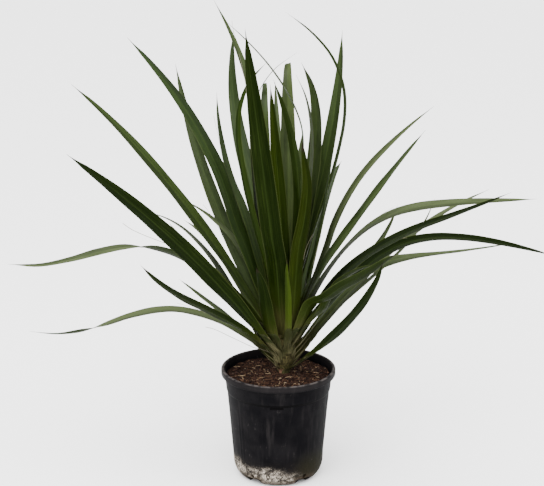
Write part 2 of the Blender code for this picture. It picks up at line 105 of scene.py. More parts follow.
class Finish:
    """A material on a Principled shader, with its nodes written as expressions."""

    def __init__(self, name, **constants):
        self.material = bpy.data.materials.new(name)
        self.material.use_nodes = True
        self.tree = self.material.node_tree
        self.shader = self.tree.nodes["Principled BSDF"]
        for socket, value in constants.items():
            self.shader.inputs[socket.replace("_", " ")].default_value = value

    def add(self, kind, settings=None, inputs=(), output=0):
        """A node: its settings first, then values or links, in order or by socket name."""
        node = self.tree.nodes.new(kind)
        for name, value in (settings or {}).items():
            setattr(node, name, value)
        pairs = inputs.items() if isinstance(inputs, dict) else enumerate(inputs)
        for key, value in pairs:
            if isinstance(value, Signal):
                self.tree.links.new(value.socket, node.inputs[key])
            elif value is not None:
                node.inputs[key].default_value = value
        return Signal(self, node.outputs[output])

    def place(self):
        """Object coordinates."""
        return self.add("ShaderNodeTexCoord", output="Object")

    def attribute(self, name):
        """A value kept on the mesh."""
        return self.add("ShaderNodeAttribute", {"attribute_name": name}, output="Fac")

    def scaled(self, vector, factors):
        """A vector stretched along its axes."""
        return self.add("ShaderNodeVectorMath", {"operation": "MULTIPLY"}, [vector, factors])

    def noise(self, vector, scale, detail=3.0, roughness=0.55):
        """Noise from 0 to 1."""
        inputs = {"Vector": vector, "Scale": scale, "Detail": detail, "Roughness": roughness}
        return self.add("ShaderNodeTexNoise", {}, inputs)

    def step(self, value, low, high):
        """0 below low and 1 above high, smooth between. Low may lie above high."""
        inputs = {"Value": value, "From Min": low, "From Max": high}
        return self.add("ShaderNodeMapRange", {"interpolation_type": "SMOOTHSTEP"}, inputs)

    def mix(self, share, first, second):
        """A colour between two."""
        inputs = {0: share}
        for key, colour in ((6, first), (7, second)):
            inputs[key] = colour if isinstance(colour, Signal) else (*colour, 1)
        return self.add("ShaderNodeMix", {"data_type": "RGBA"}, inputs, output=2)

    def set(self, socket, signal):
        """Link a signal to the shader."""
        self.tree.links.new(signal.socket, self.shader.inputs[socket])

    def relief(self, height, distance, strength=1.0):
        """Let a height bend the light."""
        inputs = {"Strength": strength, "Distance": distance, "Height": height}
        self.set("Normal", self.add("ShaderNodeBump", {}, inputs))


def linked(name, data):
    """An object that stands in the scene."""
    thing = bpy.data.objects.new(name, data)
    bpy.context.scene.collection.objects.link(thing)
    return thing


def meshed(shell, name):
    """The mesh of a shell that is finished."""
    mesh = bpy.data.meshes.new(name)
    shell.to_mesh(mesh)
    shell.free()
    return mesh


def settled(thing):
    """The mesh of an object with its modifiers applied."""
    depsgraph = bpy.context.evaluated_depsgraph_get()
    return bpy.data.meshes.new_from_object(thing.evaluated_get(depsgraph), depsgraph=depsgraph)


def piece(name, mesh, material, slot, *nodes):
    """A finished piece: on the root body and in the place of its CAD nodes. Its slot is not used."""
    thing = linked(name, mesh)
    mesh.materials.clear()
    mesh.materials.append(material)
    mesh.polygons.foreach_set("use_smooth", [True] * len(mesh.polygons))
    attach(thing, "root")
    if nodes:
        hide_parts(*nodes)


def rounded(points, reach):
    """A line of points with each corner drawn off in three points."""
    out = [points[0]]
    for before, here, after in zip(points, points[1:], points[2:]):
        back, on = before - here, after - here
        near = min(reach, 0.4 * back.length, 0.4 * on.length)
        start, end = here + back.normalized() * near, here + on.normalized() * near
        out += [start, (start + 2 * here + end) / 4, end]
    return out + [points[-1]]


def split(points, longest, fine=None):
    """A line of points with no step longer than a limit, or than a smaller one between two heights."""
    out = [points[0]]
    for here, after in zip(points, points[1:]):
        low, high = sorted((here.y, after.y))
        close = fine and high <= fine[1] and low >= fine[0]
        count = max(1, math.ceil((after - here).length / (fine[2] if close else longest)))
        out += [here.lerp(after, (k + 1) / count) for k in range(count)]
    return out


def smooth(x):
    """0 to 1 with level ends."""
    x = min(max(x, 0.0), 1.0)
    return x * x * (3 - 2 * x)


def wall_radius(height):
    """The wall's outer radius between the foot's corner and the rim."""
    return FOOT_TOP_RADIUS + (height - FOOT_TOP) * WALL_SLOPE + (LEDGE_STEP if height > LEDGE_HEIGHT else 0)


def foot_corner(foot, low, high, count):
    """The rounded corner of the foot, from the wall down: outside if it ends on the ground, else inside."""
    top = FOOT_TOP_RADIUS - (WALL if low else 0)
    centre = foot - 2.5 * MM
    angles = [math.radians(FOOT_TURN) * k / count for k in range(count + 1)]
    across, down = top - centre, high - low
    return [Vector((centre + across * math.cos(a), high - down * math.sin(a))) for a in angles]


def pot_line():
    """The pot's section from the floor's middle inside to its middle underneath."""
    inner = foot_corner(FOOT_RADIUS - WALL, FLOOR_TOP, FOOT_TOP + WALL, count=5)[::-1]
    outer = foot_corner(FOOT_RADIUS, 0, FOOT_TOP, count=8)[:-1]
    band = POT_HEIGHT - RIM_BAND
    inside = [
        (wall_radius(MOUTH_HEIGHT) - WALL, MOUTH_HEIGHT), (RIM_RADIUS - 6.2 * MM, band),
        (RIM_RADIUS - 5 * MM, POT_HEIGHT - 1.5 * MM), (RIM_RADIUS - 3.8 * MM, POT_HEIGHT),
    ]
    outside = [
        (RIM_RADIUS - 1.5 * MM, POT_HEIGHT), (RIM_RADIUS, POT_HEIGHT - 1.5 * MM),
        (RIM_RADIUS, band + 1 * MM), (RIM_RADIUS - 1 * MM, band),
        (wall_radius(band) + 0.4 * MM, band - 0.6 * MM),
        (wall_radius(LEDGE_HEIGHT + 1 * MM), LEDGE_HEIGHT + 1 * MM),
        (wall_radius(LEDGE_HEIGHT - 1 * MM), LEDGE_HEIGHT - 1 * MM),
        (wall_radius(LEDGE_HEIGHT - 8 * MM), LEDGE_HEIGHT - 8 * MM),
    ]
    under = [
        (FOOT_RADIUS, 0), (FOOT_RADIUS - 5 * MM, 0), (FOOT_RADIUS - 6 * MM, FLOOR_UNDER), (0, FLOOR_UNDER),
    ]
    points = [Vector((0, FLOOR_TOP))] + inner + [Vector(p) for p in inside + outside]
    points += outer + [Vector(p) for p in under]
    fine = LEDGE_HEIGHT - 9 * MM, LEDGE_HEIGHT + 1 * MM, 0.8 * MM
    return split(rounded(points, reach=1.2 * MM), longest=4 * MM, fine=fine)


def flute_relief(degrees, height):
    """How far the wall stands in at a heading and a height: flute lines, arched panels and the tabs."""
    turn = (degrees - FLUTE_START) % (360 / FLUTES)
    off_line = min(turn, 360 / FLUTES - turn)
    off_panel = abs(turn - 180 / FLUTES)
    fade = smooth((height - 25 * MM) / (12 * MM)) * smooth((LEDGE_HEIGHT - 2 * MM - height) / (6 * MM))
    line = FLUTE_DEPTH * math.exp(-(off_line / FLUTE_WIDTH) ** 2)
    arch = LEDGE_HEIGHT - 16 * MM - 8 * MM * (off_panel / 12) ** 2
    panel = PANEL_DEPTH * smooth((PANEL_HALF_WIDTH - off_panel) / 2) * smooth((arch - height) / (3 * MM))
    off_tab = abs((degrees - TAB_HEADING + 45) % 90 - 45)
    tab_foot = smooth((height - LEDGE_HEIGHT + 6.5 * MM) / (1.5 * MM))
    tab_head = smooth((LEDGE_HEIGHT - 1.2 * MM - height) / (1 * MM))
    tab = TAB_DEPTH * smooth((TAB_HALF_WIDTH - off_tab) / 1.3) * tab_foot * tab_head
    return fade * (line + panel) + tab


def turned(name, line, sides, relief=None):
    """A closed mesh turned round Z, with a relief sunk into its outer wall."""
    shell = bmesh.new()
    rings = []
    for point in line:
        if point.x < 1e-6:
            rings.append([shell.verts.new((0, 0, point.y))])
            continue
        ring = []
        for k in range(sides):
            a = 2 * math.pi * k / sides
            radius = point.x - (relief(math.degrees(a), point) if relief else 0)
            ring.append(shell.verts.new((radius * math.cos(a), radius * math.sin(a), point.y)))
        rings.append(ring)
    for lower, upper in zip(rings, rings[1:]):
        for k in range(sides):
            m = (k + 1) % sides
            below = [lower[k % len(lower)], lower[m % len(lower)]]
            above = [upper[m % len(upper)], upper[k % len(upper)]]
            shell.faces.new(list(dict.fromkeys(below + above)))
    bmesh.ops.recalc_face_normals(shell, faces=shell.faces)
    return meshed(shell, name)


def pot_relief(degrees, point):
    """The relief on the outer wall alone."""
    outside = FOOT_TOP < point.y < LEDGE_HEIGHT and point.x > wall_radius(point.y) - WALL / 2
    return flute_relief(degrees, point.y) if outside else 0


def steady(shell, name):
    """The mesh of a shell, its parts in order of place: a bevel's own order varies between runs."""
    order = Vector((1, 0.37, 0.0831))
    shell.verts.sort(key=lambda vertex: round(vertex.co.dot(order), 8))
    shell.verts.index_update()
    faces = []
    for face in shell.faces:
        corners = [vertex.index for vertex in face.verts]
        first = corners.index(min(corners))
        faces.append(corners[first:] + corners[:first])
    mesh = bpy.data.meshes.new(name)
    mesh.from_pydata([vertex.co for vertex in shell.verts], [], sorted(faces))
    shell.free()
    return mesh


def foot_cutters():
    """The notches between the feet and the drain hole over each, as one mesh."""
    tools = bmesh.new()
    for k in range(FEET):
        heading = math.radians(FIRST_NOTCH + 360 * k / FEET)
        out = Matrix.Rotation(heading, 4, "Z") @ Matrix.Translation((FOOT_RADIUS, 0, 0))
        box = bmesh.ops.create_cube(tools, size=1, matrix=out @ Matrix.Diagonal((*NOTCH_SIZE, 1)))["verts"]
        edges = list(dict.fromkeys(edge for vertex in box for edge in vertex.link_edges))
        bmesh.ops.bevel(tools, geom=edges, offset=4 * MM, segments=4, affect="EDGES", profile=0.5)
        drain = out @ Matrix.Translation((12 * MM, 0, 14 * MM)) @ Matrix.Rotation(math.pi / 2, 4, "Y")
        bmesh.ops.create_cone(
            tools, cap_ends=True, segments=24, radius1=DRAIN_RADIUS, radius2=DRAIN_RADIUS, depth=30 * MM,
            matrix=drain)
    return steady(tools, "foot_cutters")


def carved(mesh, tools):
    """A mesh with another cut out of it."""
    body, tool = linked("body", mesh), linked("tool", tools)
    boolean = body.modifiers.new("carve", "BOOLEAN")
    boolean.operation = "DIFFERENCE"
    boolean.solver = "EXACT"
    boolean.object = tool
    result = settled(body)
    for thing in (body, tool):
        bpy.data.objects.remove(thing)
    return result


def pot_finish():
    """Charcoal plastic, greyed and scuffed, with lime and soil stains at the foot, algae on one side, and
    painted shade under the ledge and tabs, round the notches and at the foot's bottom.
    """
    skin = Finish("pot_plastic", Specular_IOR_Level=0.02)
    place = skin.place()
    axes = [skin.add("ShaderNodeSeparateXYZ", {}, [place], output=k) for k in range(3)]
    height = axes[2]
    cloud = skin.noise(place, 26, 5)
    streak = skin.noise(skin.scaled(place, (1, 1, 0.12)), 120, 4)
    fine = skin.noise(place, 520, 3, 0.7)
    grit = skin.noise(place, 760, 2, 0.8)
    colour = skin.mix(skin.step(cloud, 0.35, 0.68), (0.0015, 0.0014, 0.0019), (0.0045, 0.0041, 0.0046))
    colour = skin.mix(skin.step(streak, 0.52, 0.78) * 0.4, colour, (0.018, 0.016, 0.016))
    scuff = skin.step(skin.noise(skin.scaled(place, (1, 1, 0.5)), 190, 5, 0.7), 0.60, 0.72)
    colour = skin.mix(scuff * skin.step(cloud, 0.42, 0.6) * 0.45, colour, (0.045, 0.041, 0.039))
    # Painted shade: a near-black line just under the stacking ledge, and a dark dash under each moulded tab.
    ledge_shade = skin.step((height - (LEDGE_HEIGHT - 0.1 * MM)).math("ABSOLUTE"), 2.3 * MM, 1.2 * MM)
    tab_x = (axes[0] - axes[1] * 0.035).math("ABSOLUTE")
    tab_y = (axes[1] + axes[0] * 0.035).math("ABSOLUTE")
    tab = skin.step(tab_x.math("MINIMUM", tab_y), 10.5 * MM, 9.3 * MM)
    tab = tab * skin.step((height - (LEDGE_HEIGHT - 3.2 * MM)).math("ABSOLUTE"), 3.0 * MM, 1.6 * MM)
    colour = skin.mix(ledge_shade.math("MAXIMUM", tab) * 0.92, colour, (0.0006, 0.0005, 0.0006))
    rim = skin.step(height, POT_HEIGHT - RIM_BAND - 1 * MM, POT_HEIGHT - 0.6 * RIM_BAND)
    lip = skin.step(height, POT_HEIGHT - 1.8 * MM, POT_HEIGHT - 0.2 * MM)
    colour = skin.mix(rim * (0.15 + 0.4 * fine), colour, (0.014, 0.012, 0.012))
    colour = skin.mix(lip * skin.step(streak, 0.35, 0.6) * 0.6, colour, (0.070, 0.060, 0.056))
    algae = skin.step(axes[0], 14 * MM, 46 * MM) * skin.step(height, 62 * MM, 26 * MM)
    colour = skin.mix(algae * skin.step(cloud, 0.30, 0.6) * 0.5, colour, (0.010, 0.010, 0.0035))
    soil_film = skin.step(height, 48 * MM, 12 * MM) * skin.step(fine, 0.40, 0.62)
    colour = skin.mix(soil_film * 0.55, colour, (0.016, 0.012, 0.007))
    patch = skin.step(skin.noise(place, 110, 4, 0.65), 0.43, 0.54)
    tide = height + (cloud - 0.5) * (46 * MM) + (fine - 0.5) * (34 * MM) + axes[0] * 0.14
    crumbs = skin.step(grit * 0.5 + fine * 0.5, 0.47, 0.54)
    lime = skin.step(tide, 32 * MM, 16 * MM) * (0.14 + 0.86 * patch) * (0.08 + 0.92 * crumbs)
    lime = lime * (1 - 0.8 * skin.step(axes[0] - (cloud - 0.5) * (40 * MM), 14 * MM, 34 * MM))
    colour = skin.mix(lime * 0.95, colour, (0.46, 0.40, 0.33))
    heading = axes[1].math("ARCTAN2", axes[0])
    off_notch = (heading - math.radians(FIRST_NOTCH)).math("PINGPONG", math.pi / FEET)
    # Painted shade round each notch and along the foot's bottom, partly also a brown soil stain.
    notch_shade_and_stain = skin.step(off_notch, 0.36, 0.22) * skin.step(height, 19 * MM, 11 * MM)
    notch_shade_and_stain = notch_shade_and_stain.math("MAXIMUM", skin.step(height, 13 * MM, 6 * MM) * 0.9)
    colour = skin.mix(notch_shade_and_stain * (0.45 + 0.55 * fine), colour, (0.020, 0.014, 0.008))
    # Painted shade: the notches' inner faces and the lowest edge of the foot, where it meets the floor, are
    # made near black.
    inside = skin.step(off_notch, 0.215, 0.195) * skin.step(height, 10.4 * MM, 9.4 * MM)
    hollow_and_contact_shade = inside.math("MAXIMUM", skin.step(height, 2.2 * MM, 0.8 * MM) * 0.8)
    colour = skin.mix(hollow_and_contact_shade, colour, (0.0040, 0.0030, 0.0022))
    skin.set("Base Color", colour)
    skin.set("Roughness", 0.50 + 0.14 * cloud + 0.3 * lime - 0.08 * rim)
    skin.relief(0.5 * fine + lime * 2.2 + 0.7 * scuff, 0.25 * MM, 0.6)
    return skin.material


pot_shell = carved(turned("pot_shell", pot_line(), POT_SIDES, pot_relief), foot_cutters())
piece("pot_shell", pot_shell, pot_finish(), "pot", "pot")


# Soil
# Bark and coir potting mix, red-brown and dry on top, filled to a finger's width under the rim. Chips,
# loose fibres and pale grains lie on it, and it fills the pot to the floor. Areas are in square metres.
SOIL_TOP = 155 * MM
SOIL_EDGE = wall_radius(MOUTH_HEIGHT) - WALL - 0.4 * MM
SOIL_DOME = 2 * MM
SOIL_RINGS = 30
SOIL_SIDES = 120
STEM_PLACE = Vector((8 * MM, 6 * MM, 0))
ANY_TURN = 6.3
CHIP_RADIUS = 1.7 * MM
CHIPS_PER_AREA = 85000.0
CRUMB_RADIUS = 0.75 * MM
CRUMBS_PER_AREA = 190000.0
FIBRE_BEND = 9 * MM
FIBRE_RADIUS = 0.22 * MM
FIBRES_PER_AREA = 26000.0


def soil_line():
    """The soil's section, a hair inside the pot."""
    inner = foot_corner(FOOT_RADIUS - WALL, FLOOR_TOP, FOOT_TOP + WALL, count=4)
    shares = [k / SOIL_RINGS for k in range(SOIL_RINGS + 1)]
    top = [Vector((SOIL_EDGE * share, SOIL_TOP - SOIL_DOME * share ** 2)) for share in shares]
    edge = [Vector((SOIL_EDGE + 1.1 * MM, SOIL_TOP - SOIL_DOME)), Vector((SOIL_EDGE, MOUTH_HEIGHT))]
    wall = [Vector((point.x - 0.36 * MM, point.y + 0.3 * MM)) for point in inner]
    return top + edge + wall + [Vector((0, FLOOR_TOP + 0.3 * MM))]


def soil_surface():
    """The soil as a mesh, with crumbs on its top."""
    mesh = turned("soil_mix", soil_line(), SOIL_SIDES)
    for vertex in mesh.vertices:
        if vertex.co.z > SOIL_TOP - 5 * MM:
            lumps = fractal(vertex.co * 160) * 1.1 + fractal(vertex.co * 60) * 1.3
            heap = math.exp(-((vertex.co - STEM_PLACE).xy.length / (16 * MM)) ** 2)
            vertex.co.z += (lumps + 1.6 * heap) * MM
    return mesh


def fractal(point):
    """Layered noise, about -1 to 1."""
    return noise.fractal(point, 0.9, 2.1, 3)


class Growth:
    """A Geometry Nodes tree with named inputs, and one host that it runs on."""

    def __init__(self, name, **sizes):
        self.tree = bpy.data.node_groups.new(name, "GeometryNodeTree")
        self.tree.interface.new_socket("Geometry", in_out="INPUT", socket_type="NodeSocketGeometry")
        self.tree.interface.new_socket("Geometry", in_out="OUTPUT", socket_type="NodeSocketGeometry")
        self.sizes = {}
        for label, value in sizes.items():
            kind = "NodeSocketInt" if isinstance(value, int) else "NodeSocketFloat"
            socket = self.tree.interface.new_socket(label, in_out="INPUT", socket_type=kind)
            self.sizes[label] = (socket.identifier, value)
        self.start = self.tree.nodes.new("NodeGroupInput")
        self.end = self.tree.nodes.new("NodeGroupOutput")

    def size(self, label):
        """The socket of a named input."""
        return self.start.outputs[label]

    def add(self, kind, settings=None, inputs=None):
        """A node: its settings first, then the values or links of its sockets."""
        node = self.tree.nodes.new(kind)
        for name, value in (settings or {}).items():
            setattr(node, name, value)
        for key, value in (inputs or {}).items():
            if isinstance(value, bpy.types.NodeSocket):
                self.tree.links.new(value, node.inputs[key])
            else:
                node.inputs[key].default_value = value
        return node

    def scatter(self, shape, lift, turns, scales, material, seed):
        """Copies of a shape on random points of the host, each with its own shade."""
        points = self.add("GeometryNodeDistributePointsOnFaces", {"distribute_method": "RANDOM"}, {
            "Mesh": self.start.outputs["Geometry"], "Density": self.size("Density"), "Seed": seed})
        turn = self.add("FunctionNodeRandomValue", {"data_type": "FLOAT_VECTOR"}, {
            0: turns[0], 1: turns[1], "Seed": seed + 1})
        scale = self.add("FunctionNodeRandomValue", {"data_type": "FLOAT_VECTOR"}, {
            0: scales[0], 1: scales[1], "Seed": seed + 2})
        shade = self.add("FunctionNodeRandomValue", {"data_type": "FLOAT"}, {
            2: 0.0, 3: 1.0, "Seed": seed + 3})
        placed = self.add("GeometryNodeSetPosition", {}, {
            "Geometry": points.outputs["Points"], "Offset": lift})
        copies = self.add("GeometryNodeInstanceOnPoints", {}, {
            "Points": placed.outputs[0], "Instance": shape,
            "Rotation": turn.outputs[0], "Scale": scale.outputs[0]})
        shaded = self.add("GeometryNodeStoreNamedAttribute", {"domain": "INSTANCE", "data_type": "FLOAT"}, {
            "Geometry": copies.outputs[0], "Name": "shade", "Value": shade.outputs[1]})
        self.close(shaded, material)

    def close(self, shape, material):
        """The end of the tree: real geometry of one material."""
        real = self.add("GeometryNodeRealizeInstances", {}, {"Geometry": shape.outputs[0]})
        done = self.add("GeometryNodeSetMaterial", {}, {"Geometry": real.outputs[0], "Material": material})
        self.tree.links.new(done.outputs[0], self.end.inputs[0])

    def tube(self, line, sides, radius):
        """A capped tube along a curve."""
        profile = self.add("GeometryNodeCurvePrimitiveCircle", {}, {"Resolution": sides, "Radius": radius})
        return self.add("GeometryNodeCurveToMesh", {}, {
            "Curve": line.outputs[0], "Profile Curve": profile.outputs[0], "Fill Caps": True})

    def mesh(self, host):
        """The plain mesh that the tree makes on a host mesh."""
        thing = linked("host", host)
        modifier = thing.modifiers.new(self.tree.name, "NODES")
        modifier.node_group = self.tree
        for identifier, value in self.sizes.values():
            modifier[identifier] = value
        result = settled(thing)
        bpy.data.objects.remove(thing)
        return result


def soil_finish():
    """Dark crumbs with redder and paler grains."""
    mix = Finish("potting_mix", Roughness=0.95, Specular_IOR_Level=0.03)
    place = mix.place()
    lumps = mix.noise(place, 210, 4, 0.7)
    grains = mix.add("ShaderNodeTexVoronoi", {}, {"Vector": place, "Scale": 620.0}, output="Color")
    grain = mix.add("ShaderNodeSeparateColor", {}, [grains])
    colour = mix.mix(mix.step(lumps, 0.3, 0.7), (0.003, 0.0018, 0.0015), (0.014, 0.007, 0.005))
    colour = mix.mix(mix.step(grain, 0.72, 0.9) * 0.6, colour, (0.075, 0.038, 0.022))
    mix.set("Base Color", colour)
    mix.relief(lumps + 0.4 * grain, 2 * MM, 0.8)
    return mix.material


def chip_finish():
    """Bark from near black to red-brown, a few chips bleached."""
    bark = Finish("bark", Roughness=0.85, Specular_IOR_Level=0.06)
    place = bark.place()
    shade = bark.attribute("shade")
    grain = bark.noise(bark.scaled(place, (1, 1, 3)), 700, 4, 0.6)
    colour = bark.mix(bark.step(shade, 0.05, 0.8), (0.004, 0.0022, 0.0018), (0.026, 0.0120, 0.0082))
    colour = bark.mix(bark.step(shade, 0.89, 0.92) * 0.85, colour, (0.090, 0.050, 0.031))
    colour = bark.mix(bark.step(shade, 0.986, 0.991), colour, (0.22, 0.17, 0.12))
    colour = bark.mix(bark.step(grain, 0.45, 0.65) * 0.6, colour, (0.008, 0.0045, 0.0035))
    bark.set("Base Color", colour)
    bark.relief(grain, 0.6 * MM, 0.7)
    return bark.material


def fibre_finish():
    """Coir threads, brown to straw."""
    coir = Finish("coir", Roughness=0.8, Specular_IOR_Level=0.08)
    shade = coir.attribute("shade")
    colour = coir.mix(coir.step(shade, 0.0, 0.75), (0.030, 0.014, 0.008), (0.095, 0.052, 0.028))
    colour = coir.mix(coir.step(shade, 0.82, 0.88), colour, (0.34, 0.25, 0.15))
    coir.set("Base Color", colour)
    return coir.material


def soil_top(margin):
    """A level disc on the soil that chips are strewn on, cut short of the pot's wall and the stem."""
    disc = bmesh.new()
    bmesh.ops.create_grid(disc, x_segments=60, y_segments=60, size=SOIL_EDGE)
    for face in list(disc.faces):
        middle = face.calc_center_median()
        if middle.xy.length > SOIL_EDGE - margin or (middle - STEM_PLACE).xy.length < 7 * MM:
            disc.faces.remove(face)
    for vertex in disc.verts:
        level = vertex.co.xy.length / SOIL_EDGE
        vertex.co.z = SOIL_TOP - SOIL_DOME * min(level, 1) ** 2 + 0.6 * MM
    return meshed(disc, "soil_top")


def strewn(name, radius, density, turns, scales, material, seed, margin):
    """Loose bits on the soil: balls pressed out of round."""
    growth = Growth(name, Density=density, Radius=radius)
    ball = growth.add("GeometryNodeMeshIcoSphere", {}, {"Radius": growth.size("Radius"), "Subdivisions": 1})
    growth.scatter(ball.outputs[0], (0, 0, 0), turns, scales, material, seed)
    return growth.mesh(soil_top(margin))


def strewn_fibres(name, material, seed, margin):
    """Curved threads on the soil."""
    growth = Growth(name, Density=FIBRES_PER_AREA, Bend=FIBRE_BEND, Radius=FIBRE_RADIUS)
    arc = growth.add("GeometryNodeCurveArc", {}, {
        "Resolution": 7, "Radius": growth.size("Bend"), "Sweep Angle": 1.1})
    tube = growth.tube(arc, sides=4, radius=growth.size("Radius"))
    centred = growth.add("GeometryNodeTransform", {}, {
        "Geometry": tube.outputs[0], "Translation": (-8 * MM, 0, 0)})
    turns = (-0.25, -0.25, 0), (0.25, 0.25, ANY_TURN)
    scales = (0.3, 0.3, 0.8), (1.25, 1.25, 1.2)
    growth.scatter(centred.outputs[0], (0, 0, 0.5 * MM), turns, scales, material, seed)
    return growth.mesh(soil_top(margin))


def tumbled(mesh, amount, scale):
    """Roughen a mesh of chips so that no two are alike, yet the same in each run."""
    noise.seed_set(5)
    for vertex in mesh.vertices:
        vertex.co += noise.noise_vector(vertex.co * scale) * amount
    return mesh


piece("soil_mix", soil_surface(), soil_finish(), "soil", "soil")
bark, coir = chip_finish(), fibre_finish()
chips = strewn("bark_chips", CHIP_RADIUS, CHIPS_PER_AREA, ((-0.5, -0.5, 0), (0.5, 0.5, ANY_TURN)),
               ((0.5, 0.35, 0.15), (2.3, 1.2, 0.55)), bark, seed=5, margin=3 * MM)
piece("bark_chips", tumbled(chips, amount=0.7 * MM, scale=420), bark, "soil")
crumbs = strewn("soil_crumbs", CRUMB_RADIUS, CRUMBS_PER_AREA, ((0, 0, 0), (3, 3, ANY_TURN)),
                ((0.6, 0.5, 0.4), (1.5, 1.3, 1.1)), bark, seed=40, margin=2 * MM)
piece("soil_crumbs", crumbs, bark, "soil")
piece("coir_fibres", strewn_fibres("coir_fibres", coir, seed=23, margin=12 * MM), coir, "soil")


# Stem
# A short woody cane under the crown, wrapped in the olive-brown scars and dry bases of old leaves.
# It is rooted in the soil, so its foot is seen for a finger's width only. Radii and heights of its profile
# are in millimetres, from the crown's heart down.
STEM_PROFILE = (
    (0.0, 270), (3.0, 266), (6.0, 255), (9.5, 240), (13.0, 222), (16.0, 204), (17.0, 190), (15.0, 176),
    (11.0, 165), (8.5, 159), (8.0, 154), (8.5, 142), (7.0, 120), (4.0, 107), (0.0, 105),
)
STEM_SIDES = 72


def core_radius(height):
    """The stem's radius at a height."""
    radii, heights = zip(*reversed(STEM_PROFILE))
    return float(np.interp(height / MM, heights, radii)) * MM


def stem_relief(degrees, point):
    """Ribs and splits that run up the stem, and rings left by fallen leaves."""
    a = math.radians(degrees)
    rib = fractal(Vector((math.cos(a) * 3.2, math.sin(a) * 3.2, point.y * 14)))
    ring = abs(math.sin(point.y * 760 + 0.8 * math.sin(2 * a)))
    return (0.5 * rib - 0.25 * ring) * MM * min(1.0, point.x / (6 * MM))


def stem_finish():
    """Dry papery bark, olive-brown with dark splits and green patches, and redder at the soil."""
    bark = Finish("stem_bark", Roughness=0.85, Specular_IOR_Level=0.06)
    place = bark.place()
    strands = bark.noise(bark.scaled(place, (1, 1, 0.10)), 900, 4, 0.6)
    patches = bark.noise(place, 110, 4)
    colour = bark.mix(bark.step(strands, 0.35, 0.65), (0.012, 0.009, 0.004), (0.075, 0.066, 0.026))
    colour = bark.mix(bark.step(patches, 0.55, 0.7) * 0.5, colour, (0.022, 0.028, 0.006))
    height = bark.add("ShaderNodeSeparateXYZ", {}, [place], output=2)
    colour = bark.mix(bark.step(height, 166 * MM, 160 * MM) * 0.8, colour, (0.150, 0.078, 0.050))
    bark.set("Base Color", colour)
    bark.relief(strands, 1 * MM, 0.8)
    return bark.material


stem_points = split([Vector((r * MM, z * MM)) for r, z in STEM_PROFILE], longest=2 * MM)
stem_mesh = turned("stem_cane", stem_points, STEM_SIDES, stem_relief)
stem_mesh.transform(Matrix.Translation(STEM_PLACE))
piece("stem_cane", stem_mesh, stem_finish(), "stem", "stem")


# Leaves
# Strap leaves about 0.2 to 0.5 m long, in a spiral round the stem: a firm blade folded along its midrib, dark
# below partly by painted shade, paler and glossier above, wan at its base, with fine veins, thin margins and
# dry tips. Some, which stand in shade, are painted darker, and some are paler than the rest, by their
# numbers.
LEAF_NODES = sorted(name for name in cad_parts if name.startswith("leaf_"))
SHADED_LEAVES = (5, 8, 9, 10, 17, 24, 27, 30, 34, 36, 39, 42)
PALE_LEAVES = (6, 7, 12, 15, 20, 21, 25, 29, 31, 47, 49)
LOWER_LEAVES = 30
LEAF_SEED = 400
SHARP_BENDS = (56, 48, 74)
ROWS_PER_STEP = 4
COLUMNS = 12
POINT_SHARE = 0.06
RUFFLE = 0.022
RUFFLE_WAVES = (15.7, 34.54)
HALF_THICKNESS = 0.42 * MM
MARGIN_THINNING = 0.27 * MM
KEEL_THICKNESS = 0.55 * MM
KEEL_WIDTH = 0.16
KEEL_LENGTH = 90 * MM
YOUNG_HEIGHT = 375 * MM
YOUNG_REACH = 60 * MM


